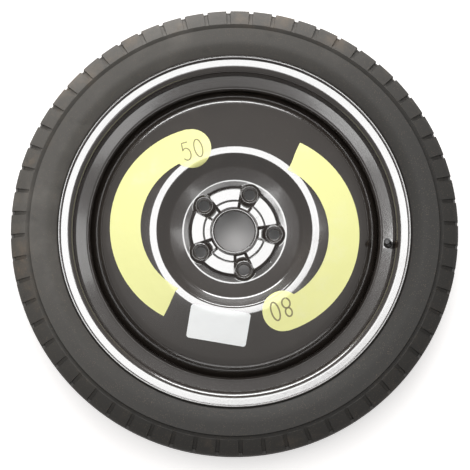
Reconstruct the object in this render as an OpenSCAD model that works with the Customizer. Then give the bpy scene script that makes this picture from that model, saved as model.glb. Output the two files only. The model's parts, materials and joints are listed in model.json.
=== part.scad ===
// Narrow temporary-use spare wheel: a pressed steel disc welded into a rolled
// steel rim, a slim tubeless tyre, a snap-in valve and three adhesive labels.
// The wheel axis is Z, with the outer face of the wheel towards +Z. The origin
// is the centre of the face that is bolted to the hub, and the valve is on +X.

/* [Tyre] */
// Height of the inflated tyre from the bead seats to the top of its tread
tyre_h = 87.5; // [83:0.5:93]
// Width of the tyre across its two sidewalls
tyre_w = 125; // [119:0.5:131]
// Width of the tread between its two edges
tread_w = 95; // [88:0.5:99]
// Height by which the tread centre stands above the tread edges
crown_rise = 3.4; // [2:0.1:5]
// Thickness of rubber and cords under the tread
tread_t = 13; // [11:0.5:15]
// Thickness of the sidewall
sidewall_t = 7; // [6:0.5:8.5]
// Width of the bead along its seat on the rim
bead_w = 15; // [13:0.5:17]
// Width of the three grooves that run round the tread
groove_w = 6; // [4:0.5:7]
// Depth of the three grooves that run round the tread
groove_depth = 4.5; // [2.5:0.5:6]
// Distance from the tread centre to each outer groove
groove_pitch = 22; // [19:0.5:24]
// Number of tread blocks round each shoulder
block_count = 60; // [48:1:66]
// Width of the slots between the shoulder blocks
slot_w = 5.5; // [3:0.5:7]
// Depth of the slots between the shoulder blocks
slot_depth = 3.6; // [2:0.2:4.6]
// Width of the slanted cuts in the two middle ribs
rib_cut_w = 2.6; // [1.6:0.2:4]
// Depth of the slanted cuts in the two middle ribs
rib_cut_depth = 3; // [1.6:0.2:4]
// Angle of the slanted cuts to the tyre width
rib_cut_slant = 24; // [0:1:35]

/* [Rim] */
// Diameter of the seats that carry the tyre beads
seat_d = 457.2; // [453:0.2:461]
// Width between the inner faces of the two flanges
rim_w = 88.9; // [84:0.1:94]
// Height of each flange above its bead seat
flange_h = 17.3; // [15.5:0.1:18.5]
// Width of each flange from its inner face to the end of its lip
flange_w = 12; // [10.8:0.2:13]
// Thickness of the rolled rim sheet
rim_sheet = 2.5; // [2:0.1:3]
// Depth of the well below the bead seats
well_depth = 21.6; // [20:0.2:23]
// Width of the well floor between the two well walls
well_w = 35; // [33:0.5:38]
// Distance from the rim centre to the outer wall of the well
well_edge = 15.2; // [14:0.2:16]
// Lean of the well walls, measured from a plane square to the axis
well_lean = 8; // [5:0.5:12]

/* [Disc] */
// Distance from the rim centre to the mounting face
wheel_offset = 25.5; // [23:0.5:27]
// Thickness of the pressed disc sheet
disc_sheet = 3.5; // [3:0.1:4]
// Diameter of the hub bore
bore_d = 57.1; // [54:0.1:58]
// Diameter of the bolt circle
pcd = 112; // [108:0.5:116]
// Number of bolt holes
bolt_count = 5; // [4:1:5]
// Diameter of each bolt hole
bolt_hole_d = 15; // [13:0.5:16]
// Radius of the ball seat round each bolt hole
seat_ball_r = 13; // [12.5:0.5:14]
// Diameter of the ball seat at its rim
seat_rim_d = 22.4; // [20:0.2:23]
// Diameter of the flat hub plate
hub_plate_d = 147; // [143:1:150]
// Height by which the embossed pads stand above the hub plate
pad_rise = 3; // [1.5:0.25:3.5]
// Part of each bolt pitch that a pad takes, in degrees
pad_span = 49; // [40:1:52]
// Height of the crest of the bore lip above the mounting face
lip_h = 8.2; // [7.6:0.2:10]
// Diameter of the raised ridge round the dish
ridge_d = 226.5; // [224:0.5:230]
// Height of the ridge crest above the mounting face
ridge_h = 22; // [20:0.5:24]
// Width of the flat crest of the ridge between its two corners
ridge_land = 10.5; // [8:0.5:12]
// Rounding of the inner corner of the ridge
ridge_r = 6; // [3:0.5:8]
// Distance from the foot of the dish wall out to the ridge
dish_run = 14; // [12:0.5:16]
// Rounding at the foot of the dish wall
dish_r = 14; // [8:1:18]
// Fall of the outer cone from the ridge to the shoulder, in degrees
cone_fall = 11; // [8:0.5:13]
// Distance from the shoulder corner of the disc out to its skirt
shoulder_in = 14; // [12:0.5:18]
// Rounding of the shoulder
shoulder_r = 24; // [18:1:28]
// Length of the skirt that lies in the rim well
skirt_l = 14; // [10:0.5:16]
// Size of the weld fillets between the skirt and the rim
weld_leg = 3.6; // [2.6:0.2:4]
// Number of weld runs round the skirt
weld_count = 8; // [6:1:12]

/* [Valve] */
// Distance from the well floor to the middle of the valve hole
valve_rise = 10.8; // [10.2:0.1:11.2]
// Diameter of the valve hole in the rim
valve_hole_d = 11.5; // [11:0.1:12]
// Length of the valve stem above the rim
valve_l = 31; // [28:0.5:33]
// Diameter of the rubber bulge that sits on the rim
valve_bulge_d = 12.4; // [12:0.1:12.6]
// Diameter of the rubber head inside the tyre
valve_head_d = 16; // [14:0.5:16.5]
// Outer diameter of the screwed end of the brass stem
stem_d = 7.7; // [7.3:0.1:8]
// Outer diameter of the valve cap
cap_d = 9.8; // [9.5:0.1:10.4]
// Height of the valve cap
cap_h = 14; // [12:0.5:15]
// Number of grip ribs round the valve cap
cap_ribs = 16; // [10:1:20]
// Outer diameter of the valve core barrel
core_d = 4.4; // [4.2:0.1:4.6]
// Diameter of the valve pin
pin_d = 1.3; // [1.1:0.1:1.5]
// Length of the open spring in the valve core
spring_l = 7.6; // [7:0.2:8.4]
// Thickness of the spring wire
spring_wire = 0.36; // [0.3:0.02:0.42]

/* [Labels] */
// Outer radius of the crescent labels
crescent_r = 142; // [138:1:144]
// Width of the crescent labels
crescent_w = 43.5; // [38:0.5:48]
// Distance from the wheel axis to the centre of each crescent
crescent_shift = 33.7; // [31:0.5:36]
// Diameter of the round end of each crescent
crescent_end_d = 56; // [50:1:58]
// Angle from the round end to the straight end of each crescent
crescent_span = 138.4; // [120:0.5:145]
// Turn of the right crescent beyond the place opposite the left one
crescent_skew = 3; // [0:0.5:4]
// Length of the paper label
paper_l = 84; // [74:1:90]
// Height of the paper label
paper_h = 46.8; // [40:0.5:50]
// Distance from the wheel axis to the middle of the paper label
paper_r = 134.8; // [132:0.5:138]
// Thickness of all three labels
label_t = 0.3; // [0.2:0.05:0.4]

/* [Hidden] */
$fn = 120;

// Clearances: parts that touch, labels on the paint, and running fits
touch_gap = 0.05;
press_gap = 0.2;
run_gap = 0.1;
over = 1;

// Rim section, in the plane of radius and distance from the rim centre
rim_centre_z = -wheel_offset;
rim_half = rim_w / 2;
seat_r = seat_d / 2;
seat_taper = 5;
flange_r = seat_r + flange_h;
curl_r = 9.5;
lip_flare = 0.3;
bead_corner_r = 6.5;
well_r = seat_r - well_depth;
hump_rise = 1.1;
hump_w = 3.8;
hump_r = 2.6;
well_top_r = 3.2;
well_corner_r = 5.5;
well_draft = 0.15;
wall_run = (seat_r - well_r) * tan(well_lean);
inner_well_edge = well_edge - well_w;

// Disc section
skirt_r = well_r - rim_sheet - touch_gap;
ridge_r0 = ridge_d / 2;
ridge_in = ridge_r0 - ridge_land / 2;
shoulder_r0 = skirt_r - shoulder_in;
shoulder_h = ridge_h - (shoulder_r0 - ridge_r0 - ridge_land / 2) * tan(cone_fall);
skirt_top = rim_centre_z + 5;
skirt_end = skirt_top - skirt_l;
dish_lift = 5.2;
hub_plate_r = hub_plate_d / 2;
bore_r = bore_d / 2;
bolt_r = pcd / 2;
pad_top = disc_sheet + pad_rise;
pad_draft = 1.6;
collar_in = bore_r + 5.6;
collar_out = bolt_r - 13.8;
pad_in = bolt_r - 12;
pad_out = bolt_r + 4.6;
groove_drop = 1.2;

// Tyre section
tyre_r = seat_r + tyre_h;
tyre_half = tyre_w / 2;
tread_half = tread_w / 2;
edge_r = tyre_r - crown_rise;
liner_drop = 2;
toe_r = seat_r + 4;
crown_r = (tread_half * tread_half + crown_rise * crown_rise) / (2 * crown_rise);

// Valve, along its own axis from the outer face of the well wall
valve_r = well_r + valve_rise;
valve_wall_z = rim_centre_z + well_edge + (valve_r - well_r) * tan(well_lean)
    + rim_sheet / cos(well_lean);
stem_top = valve_l;
thread_l = 12;
core_top = stem_top - 0.6;
thread_core_l = 5.2;
core_bottom = core_top - 17.4;
core_thread_d = core_d + 0.8;
seal_t = 2;
pin_travel = 1.2;
spring_base = core_top - thread_core_l - spring_l - 0.8;
gasket_t = 1;
cap_top_t = 1.8;
cap_base = stem_top + touch_gap + gasket_t + touch_gap + cap_top_t - cap_h;

// Labels
crescent_angle = 174;
crescent_start = 108.5;
crescent_mid = [crescent_shift * cos(crescent_angle), crescent_shift * sin(crescent_angle)];
end_turn = crescent_start + crescent_span;
end_point = crescent_mid + (crescent_r - crescent_w / 2) * [cos(end_turn), sin(end_turn)];
round_r = crescent_r - crescent_end_d / 2 - 0.5;
round_point = crescent_mid + round_r * [cos(crescent_start), sin(crescent_start)];
free_from = atan2(end_point[1], end_point[0]) + 360;
free_to = atan2(round_point[1], round_point[0]) + 180 + crescent_skew
    - asin(crescent_end_d / 2 / norm(round_point));
paper_angle = (free_from + free_to) / 2 + 2;
paper_corner_r = 4;

// Unit vector along v
function unit(v) = v / norm(v);

// v turned a quarter turn to the left
function left_of(v) = [-v[1], v[0]];

// Points of the arc that rounds corner p1 between p0 and p2
function corner_arc(p0, p1, p2, r) =
    let (
        u = unit(p0 - p1),
        v = unit(p2 - p1),
        half = acos(max(-1, min(1, u * v))) / 2,
        c = p1 + unit(u + v) * r / sin(half),
        a = p1 + u * r / tan(half) - c,
        turn = (180 - 2 * half) * sign(u[0] * v[1] - u[1] * v[0]) * -1,
        steps = max(2, ceil(abs(turn) / 12))
    )
    [for (i = [0 : steps])
        let (t = -turn * i / steps * -1)
        c + [a[0] * cos(t) - a[1] * sin(t), a[0] * sin(t) + a[1] * cos(t)]];

// A path through corners [x, y, radius], with every inner corner rounded
function smooth_path(corners) =
    let (
        last = len(corners) - 1,
        p = [for (c = corners) [c[0], c[1]]]
    )
    [for (i = [0 : last])
        each (i == 0 || i == last || corners[i][2] == 0)
            ? [p[i]]
            : corner_arc(p[i - 1], p[i], p[i + 1], corners[i][2])];

// A path moved sideways by d, to its left when d is positive
function shifted_path(path, d) =
    let (last = len(path) - 1)
    [for (i = [0 : last])
        let (
            a = unit(path[max(i, 1)] - path[max(i, 1) - 1]),
            b = unit(path[min(i, last - 1) + 1] - path[min(i, last - 1)]),
            n = unit(left_of(a) + left_of(b))
        )
        path[i] + n * d / (n * left_of(a))];

function reversed(path) = [for (i = [len(path) - 1 : -1 : 0]) path[i]];

// Section of a sheet of thickness t on the left of a path
module sheet_section(path, t) {
    polygon(concat(path, reversed(shifted_path(path, t))));
}

// Radius of the tapered bead seat at distance a from the rim centre
function seat_at(a) = seat_r - (rim_half - a) * tan(seat_taper);

// Tyre side of one half of the rim, from the lip to the well floor,
// with edge as the distance from the rim centre to the well wall
// and grow as the draft of the well floor there
function half_rim(edge, grow) = [
    [flange_r + lip_flare, rim_half + flange_w, 0],
    [flange_r, rim_half, curl_r],
    [seat_r, rim_half, bead_corner_r],
    [seat_at(edge + wall_run + 2 * hump_w), edge + wall_run + 2 * hump_w, hump_r],
    [seat_at(edge + wall_run + hump_w) + hump_rise, edge + wall_run + hump_w, hump_r],
    [seat_at(edge + wall_run), edge + wall_run, well_top_r],
    [well_r + grow, edge, well_corner_r]
];

function mirrored(corners) =
    [for (i = [len(corners) - 1 : -1 : 0]) [corners[i][0], -corners[i][1], corners[i][2]]];

rim_path = smooth_path(concat(
    half_rim(well_edge, 0),
    mirrored(half_rim(-inner_well_edge, well_draft))));

// Front of the disc, from the hub plate to the end of the skirt
disc_path = smooth_path([
    [bore_r, disc_sheet, 0],
    [hub_plate_r, disc_sheet, 10],
    [ridge_in - dish_run, disc_sheet + dish_lift, dish_r],
    [ridge_in, ridge_h, ridge_r],
    [ridge_r0 + ridge_land / 2, ridge_h, ridge_r],
    [shoulder_r0, shoulder_h, shoulder_r],
    [skirt_r, skirt_top, 8],
    [skirt_r, skirt_end, 0]
]);

// One side of the tyre, from the bead toe to the tread edge
function tyre_side() = [
    [seat_at(rim_half - bead_w) + press_gap, rim_half - bead_w, 1.5],
    [seat_r + press_gap, rim_half - press_gap, bead_corner_r - press_gap],
    [flange_r + press_gap, rim_half - press_gap, curl_r + press_gap],
    [flange_r + 1, rim_half + flange_w - 2, 3],
    [flange_r + 17, tyre_half, 25],
    [tyre_r - 28, tyre_half, 40],
    [tyre_r - 8, tread_half + 5, 20],
    [edge_r, tread_half, 2]
];

// One side of the air space in the tyre, from the tread to the bead
function tyre_hollow() = [
    [tyre_r - tread_t - liner_drop / 4, tread_half / 2, 0],
    [tyre_r - tread_t - liner_drop, tread_half - 2, 16],
    [tyre_r - 34, tyre_half - sidewall_t, 30],
    [flange_r + 18, tyre_half - sidewall_t, 20],
    [seat_r + 13, rim_half - bead_w, 8]
];

function crown() = [for (i = [1 : 11])
    let (a = tread_half * (1 - i / 6))
    [tyre_r - crown_r + sqrt(crown_r * crown_r - a * a), a]];

module tyre_section() {
    side = smooth_path(concat(
        [[toe_r, rim_half - bead_w, 0]],
        tyre_side(),
        [[crown()[0][0], crown()[0][1], 0]]));
    hollow = smooth_path(concat(tyre_hollow(), [[toe_r + 1, rim_half - bead_w, 0]]));
    outer = concat(side, crown(), reversed([for (p = side) [p[0], -p[1]]]));
    crest = [tyre_r - tread_t, 0];
    inner = concat([for (p = reversed(hollow)) [p[0], -p[1]]], [crest], hollow);
    difference() {
        polygon(concat(outer, inner));
        for (k = [-1 : 1])
            translate([tyre_r - groove_depth - abs(k) * 0.7, k * groove_pitch - groove_w / 2])
                square([groove_depth + over + abs(k), groove_w]);
    }
}

// Cutter for one slot over the shoulder, on the +X side
module shoulder_slot() {
    rotate([90, 0, 0])
        linear_extrude(height = slot_w, center = true)
            polygon([
                [tyre_r + over, groove_pitch + groove_w / 2 + 5],
                [tyre_r - 2, groove_pitch + groove_w / 2 + 5],
                [edge_r - slot_depth, tread_half - 3],
                [tyre_r - 8 - slot_depth, tread_half + 5 - slot_depth / 2],
                [tyre_r - 22, tyre_half + over],
                [tyre_r + over, tyre_half + over]
            ]);
}

module rib_cut() {
    translate([tyre_r - rib_cut_depth - 0.2, 0, groove_pitch / 2])
        rotate([rib_cut_slant, 0, 0])
            translate([0, -rib_cut_w / 2, -groove_pitch / 2])
                cube([rib_cut_depth + over, rib_cut_w, groove_pitch]);
}

module tyre() {
    color("#3a3733")
    translate([0, 0, rim_centre_z])
    difference() {
        rotate_extrude() tyre_section();
        for (i = [0 : block_count - 1], side = [0, 1])
            rotate([0, 0, (i + side / 2) * 360 / block_count])
                mirror([0, 0, side]) {
                    shoulder_slot();
                    rib_cut();
                }
    }
}

// Moves its children to the valve hole, with Z along the valve
module at_valve() {
    translate([valve_r, 0, valve_wall_z]) rotate([0, -well_lean, 0]) children();
}

module rim() {
    color("#15120f")
    difference() {
        translate([0, 0, rim_centre_z])
            rotate_extrude() sheet_section(rim_path, -rim_sheet);
        at_valve() translate([0, 0, -3 * rim_sheet])
            cylinder(h = 4 * rim_sheet, d = valve_hole_d);
    }
}

// Keeps of its children the sector of the given span about +X, with leaning ends
module sector(span, lean) {
    difference() {
        children();
        for (side = [0, 1])
            mirror([0, side, 0])
                rotate([0, 0, span / 2])
                    translate([0, 0, disc_sheet])
                        rotate([lean, 0, 0])
                            translate([0, 0, -hub_plate_r])
                                cube(2 * hub_plate_r);
    }
}

// Raised pad and collar arc between two bolt holes
module pad_emboss() {
    foot = pad_draft * (pad_rise + over) / pad_rise;
    rotate_extrude(angle = 80, start = -40)
        polygon([
            [collar_in - foot, disc_sheet - over],
            [collar_in, pad_top],
            [collar_out, pad_top],
            [(collar_out + pad_in) / 2, pad_top - groove_drop],
            [pad_in, pad_top],
            [pad_out, pad_top],
            [pad_out + foot, disc_sheet - over]
        ]);
}

// Hollow behind a pad, pressed in from the back
module pad_hollow() {
    rotate_extrude(angle = 80, start = -40)
        polygon([
            [collar_out - 1, -over],
            [collar_out, pad_rise - 0.5],
            [pad_out - 3, pad_rise - 0.5],
            [pad_out - 1.5, -over]
        ]);
}

module bore_lip() {
    lip_t = 4.4;
    rotate_extrude()
        polygon(smooth_path([
            [bore_r, disc_sheet - over, 0],
            [bore_r, lip_h, lip_t / 2 - 0.1],
            [bore_r + lip_t, lip_h, lip_t / 2 - 0.1],
            [bore_r + lip_t + 1.6, disc_sheet - over, 0]
        ]));
}

module bolt_boss() {
    translate([bolt_r, 0, disc_sheet - over / 2])
        cylinder(h = pad_rise + over / 2 + 0.3, d1 = seat_rim_d + 9, d2 = seat_rim_d + 1.6);
}

module bolt_seat() {
    seat_top = disc_sheet + pad_rise + 0.3;
    rise = sqrt(seat_ball_r * seat_ball_r - seat_rim_d * seat_rim_d / 4);
    translate([bolt_r, 0, seat_top + rise]) sphere(r = seat_ball_r);
    translate([bolt_r, 0, -over]) cylinder(h = 12, d = bolt_hole_d);
}

module wheel_disc() {
    color("#1b1713")
    difference() {
        union() {
            rotate_extrude() sheet_section(disc_path, -disc_sheet);
            bore_lip();
            for (i = [0 : bolt_count - 1]) {
                rotate([0, 0, (i + 0.5) * 360 / bolt_count])
                    sector(pad_span, 35) pad_emboss();
                rotate([0, 0, i * 360 / bolt_count]) bolt_boss();
            }
        }
        for (i = [0 : bolt_count - 1]) {
            rotate([0, 0, (i + 0.5) * 360 / bolt_count])
                sector(pad_span - 9, 30) pad_hollow();
            rotate([0, 0, i * 360 / bolt_count]) bolt_seat();
        }
    }
}

module weld_beads() {
    run = 360 / weld_count * 0.62;
    outer = skirt_r + well_draft * 0.6;
    color("#4a443e")
    for (i = [0 : weld_count - 1])
        rotate([0, 0, (i + 0.5) * 360 / weld_count - run / 2])
            rotate_extrude(angle = run)
                polygon([
                    [outer, skirt_end - touch_gap],
                    [skirt_r - weld_leg + 0.3, skirt_end - touch_gap],
                    [skirt_r - weld_leg * 0.42, skirt_end - touch_gap - weld_leg * 0.72],
                    [outer, skirt_end - touch_gap - weld_leg]
                ]);
}

module valve_body() {
    neck_r = valve_hole_d / 2 - touch_gap;
    wall = rim_sheet + touch_gap;
    head_h = 7;
    boot_top = valve_l - thread_l - 1.5;
    stem_hole_r = stem_d / 2 - 1.2 + touch_gap;
    color("#1d1c1b")
    at_valve() rotate_extrude()
        polygon([
            [stem_hole_r, -wall - head_h],
            [valve_head_d / 2 - 2, -wall - head_h],
            [valve_head_d / 2, -wall - head_h + 2],
            [valve_head_d / 2, -wall - 1.6],
            [neck_r + 0.4, -wall],
            [neck_r, -wall],
            [neck_r, touch_gap],
            [neck_r + 0.2, touch_gap],
            [valve_bulge_d / 2, 0.9],
            [valve_bulge_d / 2, 2],
            [neck_r, 3.6],
            [neck_r - 0.4, 5],
            [stem_d / 2 + 1, boot_top - 1.5],
            [stem_d / 2 + 0.4, boot_top],
            [stem_hole_r, boot_top]
        ]);
}

module valve_stem() {
    shank_r = stem_d / 2 - 1.2;
    chamber_r = core_d / 2 + touch_gap;
    color("#b59a55")
    at_valve() rotate_extrude()
        polygon([
            [1.5, -6],
            [shank_r, -6],
            [shank_r, valve_l - thread_l - 1.5 + touch_gap],
            [stem_d / 2, valve_l - thread_l - 1.5 + touch_gap],
            [stem_d / 2, stem_top - 0.6],
            [stem_d / 2 - 0.6, stem_top],
            [core_thread_d / 2 + touch_gap, stem_top],
            [core_thread_d / 2 + touch_gap, core_top - thread_core_l - touch_gap],
            [chamber_r, core_top - thread_core_l - touch_gap - 0.4],
            [chamber_r, core_bottom - seal_t - pin_travel - 2],
            [1.5, core_bottom - seal_t - pin_travel - 3]
        ]);
}

module valve_core() {
    bore = pin_d / 2 + run_gap / 2;
    room = core_d / 2 - 0.5;
    neck = core_top - thread_core_l;
    color("#c2a860")
    at_valve() rotate_extrude()
        polygon([
            [bore, core_bottom],
            [core_d / 2 - 0.2, core_bottom],
            [core_d / 2, core_bottom + 0.4],
            [core_d / 2, neck - 0.4],
            [core_thread_d / 2, neck],
            [core_thread_d / 2, core_top],
            [bore, core_top],
            [bore, neck],
            [room, neck],
            [room, spring_base],
            [bore, spring_base]
        ]);
}

module valve_pin() {
    collar = core_d / 2 - 0.5 - run_gap;
    neck = core_top - thread_core_l;
    color("#d0bf8a")
    at_valve() {
        translate([0, 0, core_bottom - seal_t - 0.4])
            cylinder(h = core_top - core_bottom + seal_t + 0.6, d = pin_d);
        translate([0, 0, neck - 0.75])
            cylinder(h = 0.7, r = collar);
    }
}

// Coil of n turns between heights z0 and z1, as a swept ring of eight sides
module valve_spring() {
    turns = 6;
    steps = 12;
    sides = 8;
    wire_r = spring_wire / 2;
    coil_r = core_d / 2 - 0.5 - run_gap - wire_r;
    z0 = spring_base + touch_gap + wire_r;
    z1 = core_top - thread_core_l - 0.75 - touch_gap - wire_r;
    count = turns * steps;
    points = [for (i = [0 : count], j = [0 : sides - 1])
        let (
            a = 360 * i / steps,
            b = 360 * j / sides,
            r = coil_r + wire_r * cos(b)
        )
        [r * cos(a), r * sin(a), z0 + (z1 - z0) * i / count + wire_r * sin(b)]];
    rings = [for (i = [0 : count - 1], j = [0 : sides - 1])
        let (k = (j + 1) % sides)
        [i * sides + j, i * sides + k, (i + 1) * sides + k, (i + 1) * sides + j]];
    ends = [
        [for (j = [sides - 1 : -1 : 0]) j],
        [for (j = [0 : sides - 1]) count * sides + j]
    ];
    color("#9a9a98")
    at_valve() polyhedron(points = points, faces = concat(rings, ends));
}

module valve_seal() {
    color("#242424")
    at_valve() translate([0, 0, core_bottom - seal_t - touch_gap])
        difference() {
            cylinder(h = seal_t, d = core_d - 0.5);
            translate([0, 0, -over]) cylinder(h = seal_t + 2 * over, d = pin_d + touch_gap);
        }
}

module valve_cap() {
    outer_r = cap_d / 2 - 0.35;
    inner_top = cap_base + cap_h - cap_top_t;
    color("#161616")
    at_valve() {
        difference() {
            translate([0, 0, cap_base])
                rotate_extrude()
                    polygon(smooth_path([
                        [0, 0, 0],
                        [outer_r, 0, 0],
                        [outer_r, cap_h, 1.4],
                        [0, cap_h, 0]
                    ]));
            translate([0, 0, cap_base - over])
                cylinder(h = inner_top - cap_base + over, d = stem_d + 2 * run_gap);
            translate([0, 0, cap_base - over])
                cylinder(h = over + 1, d = stem_d + 0.6);
        }
        for (i = [0 : cap_ribs - 1])
            rotate([0, 0, i * 360 / cap_ribs])
                translate([outer_r - 0.35, -0.4, cap_base + 1])
                    cube([0.7, 0.8, cap_h - 4]);
    }
}

module cap_gasket() {
    color("#2a2a2a")
    at_valve() translate([0, 0, stem_top + touch_gap])
        cylinder(h = gasket_t, d = stem_d);
}

// Skin of thickness label_t that lies on the front of the disc, between two radii
module disc_skin(r0, r1) {
    base = [for (p = disc_path) if (p[0] > r0 && p[0] < r1) p];
    rotate_extrude()
        sheet_section(shifted_path(base, touch_gap), label_t);
}

module crescent_outline() {
    reach = 2 * crescent_r;
    rotate([0, 0, crescent_angle]) translate([crescent_shift, 0])
        rotate([0, 0, crescent_start - crescent_angle]) {
            intersection() {
                difference() {
                    circle(r = crescent_r);
                    circle(r = crescent_r - crescent_w);
                }
                polygon([
                    [0, 0],
                    [reach, 0],
                    [reach * cos(crescent_span / 2), reach * sin(crescent_span / 2)],
                    [reach * cos(crescent_span), reach * sin(crescent_span)]
                ]);
            }
            translate([round_r, 0]) circle(d = crescent_end_d);
        }
}

module yellow_sticker(turn) {
    color("#fdfdb8")
    intersection() {
        disc_skin(hub_plate_r + 20, shoulder_r0 - 4);
        rotate([0, 0, turn]) linear_extrude(height = 60) crescent_outline();
    }
}

module yellow_sticker_left() {
    yellow_sticker(0);
}

module yellow_sticker_right() {
    yellow_sticker(180 + crescent_skew);
}

module paper_label() {
    c = paper_corner_r;
    color("#f4f8f6")
    intersection() {
        disc_skin(hub_plate_r + 20, shoulder_r0 - 4);
        rotate([0, 0, paper_angle]) translate([paper_r, 0, 0])
            linear_extrude(height = 60)
                union() {
                    square([paper_h - 2 * c, paper_l], center = true);
                    square([paper_h, paper_l - 2 * c], center = true);
                    for (x = [-1, 1], y = [-1, 1])
                        translate([x * (paper_h / 2 - c), y * (paper_l / 2 - c)]) circle(r = c);
                }
    }
}

tyre();
rim();
wheel_disc();
weld_beads();
valve_body();
valve_stem();
valve_core();
valve_pin();
valve_spring();
valve_seal();
valve_cap();
cap_gasket();
yellow_sticker_left();
yellow_sticker_right();
paper_label();
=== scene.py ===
"""Looks of a narrow temporary-use spare wheel, built over its packed solids."""

import json
import math

import bmesh
import bpy
import numpy as np
from mathutils import Matrix, Vector
from mathutils.geometry import delaunay_2d_cdt

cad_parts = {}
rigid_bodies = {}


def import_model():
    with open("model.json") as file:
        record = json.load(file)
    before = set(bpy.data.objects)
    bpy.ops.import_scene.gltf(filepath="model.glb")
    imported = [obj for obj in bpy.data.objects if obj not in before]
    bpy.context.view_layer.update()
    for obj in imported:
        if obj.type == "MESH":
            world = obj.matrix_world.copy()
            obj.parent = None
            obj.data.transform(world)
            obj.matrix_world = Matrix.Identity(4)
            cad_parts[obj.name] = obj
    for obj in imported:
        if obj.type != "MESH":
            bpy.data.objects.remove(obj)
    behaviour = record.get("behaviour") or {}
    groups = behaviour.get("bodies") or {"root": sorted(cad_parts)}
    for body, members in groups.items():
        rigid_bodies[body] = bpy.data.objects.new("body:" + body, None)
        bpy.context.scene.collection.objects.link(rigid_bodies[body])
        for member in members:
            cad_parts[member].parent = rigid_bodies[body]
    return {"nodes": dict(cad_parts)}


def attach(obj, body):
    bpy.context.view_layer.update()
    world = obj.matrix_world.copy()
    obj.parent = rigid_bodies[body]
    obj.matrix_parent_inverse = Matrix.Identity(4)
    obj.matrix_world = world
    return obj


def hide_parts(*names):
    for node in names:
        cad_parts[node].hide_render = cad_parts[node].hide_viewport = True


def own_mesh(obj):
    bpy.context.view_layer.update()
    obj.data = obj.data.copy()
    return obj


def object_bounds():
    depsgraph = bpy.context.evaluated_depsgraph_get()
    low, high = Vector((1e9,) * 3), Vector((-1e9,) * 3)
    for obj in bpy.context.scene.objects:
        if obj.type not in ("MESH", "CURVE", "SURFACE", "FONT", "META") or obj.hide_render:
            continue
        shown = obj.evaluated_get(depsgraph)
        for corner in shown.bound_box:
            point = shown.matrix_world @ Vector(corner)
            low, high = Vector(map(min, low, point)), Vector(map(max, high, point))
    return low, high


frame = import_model()
CAD_BOX = [list(corner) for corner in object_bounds()]

bl_info = {
    "name": "Spare wheel",
    "version": (1, 0, 0),
    "blender": (4, 5, 0),
    "location": "3D View > Sidebar > Spare wheel",
    "description": "Builds the visible pieces of a narrow spare wheel over its packed solids",
    "category": "Object",
}

# Sizes in millimetres and degrees, most of them the same as in the solids
RIM_Z = -25.5
RIM_HALF = 44.45
SEAT_R = 228.6
FLANGE_R = 245.9
FLANGE_W = 12.0
LIP_FLARE = 0.3
WELL_R = 207.0
WELL_EDGE = 15.2
INNER_WELL_EDGE = -19.8
WELL_LEAN = 8.0
SEAT_TAPER = 5.0
HUMP_W = 3.8
HUMP_H = 1.1
HUMP_R = 2.6
WELL_DRAFT = 0.15
RIM_SHEET = 2.5
TYRE_R = 316.1
TYRE_HALF = 62.5
TREAD_HALF = 47.5
CROWN_RISE = 3.4
TREAD_T = 13.0
SIDEWALL_T = 7.0
BEAD_W = 15.0
LINER_DROP = 2.0
DISC_SHEET = 3.5
BORE_R = 28.55
BOLT_R = 56.0
BOLT_COUNT = 5
HALF_PITCH = 180 / BOLT_COUNT
BOLT_HOLE_R = 7.5
SEAT_BALL_R = 13.0
SEAT_RIM_R = 11.2
PAD_TOP = 6.5
HUB_R = 73.5
PLATE_END = 72.0
SKIRT_R = 204.45
SKIRT_TOP = -20.5
SKIRT_END = -34.5
LIP_R = 2.2
LIP_TOP = 8.2
DISH_R = 94.0
DISH_H = 8.7
RIDGE_H = 22.0
RIDGE_IN = 108.0
RIDGE_OUT = 118.5
CONE_FALL = 11.0
SHOULDER_R = 190.45
VALVE_R = 217.8
VALVE_WALL_Z = -6.2576
VALVE_L = 31.0
STEM_R = 3.85
CAP_R = 4.9
CAP_H = 14.0
CORE_R = 2.2
SPRING_BASE = 16.85
SPRING_L = 7.5
LABEL_T = 0.3
CRESCENT_R = 142.0
CRESCENT_W = 43.5
CRESCENT_SHIFT = 33.7
CRESCENT_ANGLE = 174.0
CRESCENT_START = 108.5
CRESCENT_SPAN = 138.4
ROUND_END_R = 28.0
RIGHT_TURN = 183.0
PAPER_L = 84.0
PAPER_H = 46.8
PAPER_R = 134.8
PAPER_ANGLE = 264.85
TOUCH_GAP = 0.05

# Seen sizes that differ from the solids, because the reflections in the photo ask for it
CURL_R = 3.6
BEAD_CORNER_R = 8.0
SEEN_LEAN = 12.0

# Detail of the meshes
SPLIT = 14
HOLE_POINTS = 64


def tan_of(degrees):
    """Tangent of an angle in degrees."""
    return math.tan(math.radians(degrees))


def polar(r, degrees):
    """Point at a radius and an angle in degrees."""
    turn = math.radians(degrees)
    return r * np.array([math.cos(turn), math.sin(turn)])


def seat_at(a):
    """Radius of the tapered bead seat at distance a from the rim centre."""
    return SEAT_R - (RIM_HALF - a) * tan_of(SEAT_TAPER)


def left_of(v):
    """The direction turned a quarter to the left."""
    return np.array([-v[1], v[0]])


def unit(v):
    """The direction with length one."""
    return v / np.linalg.norm(v)


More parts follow.
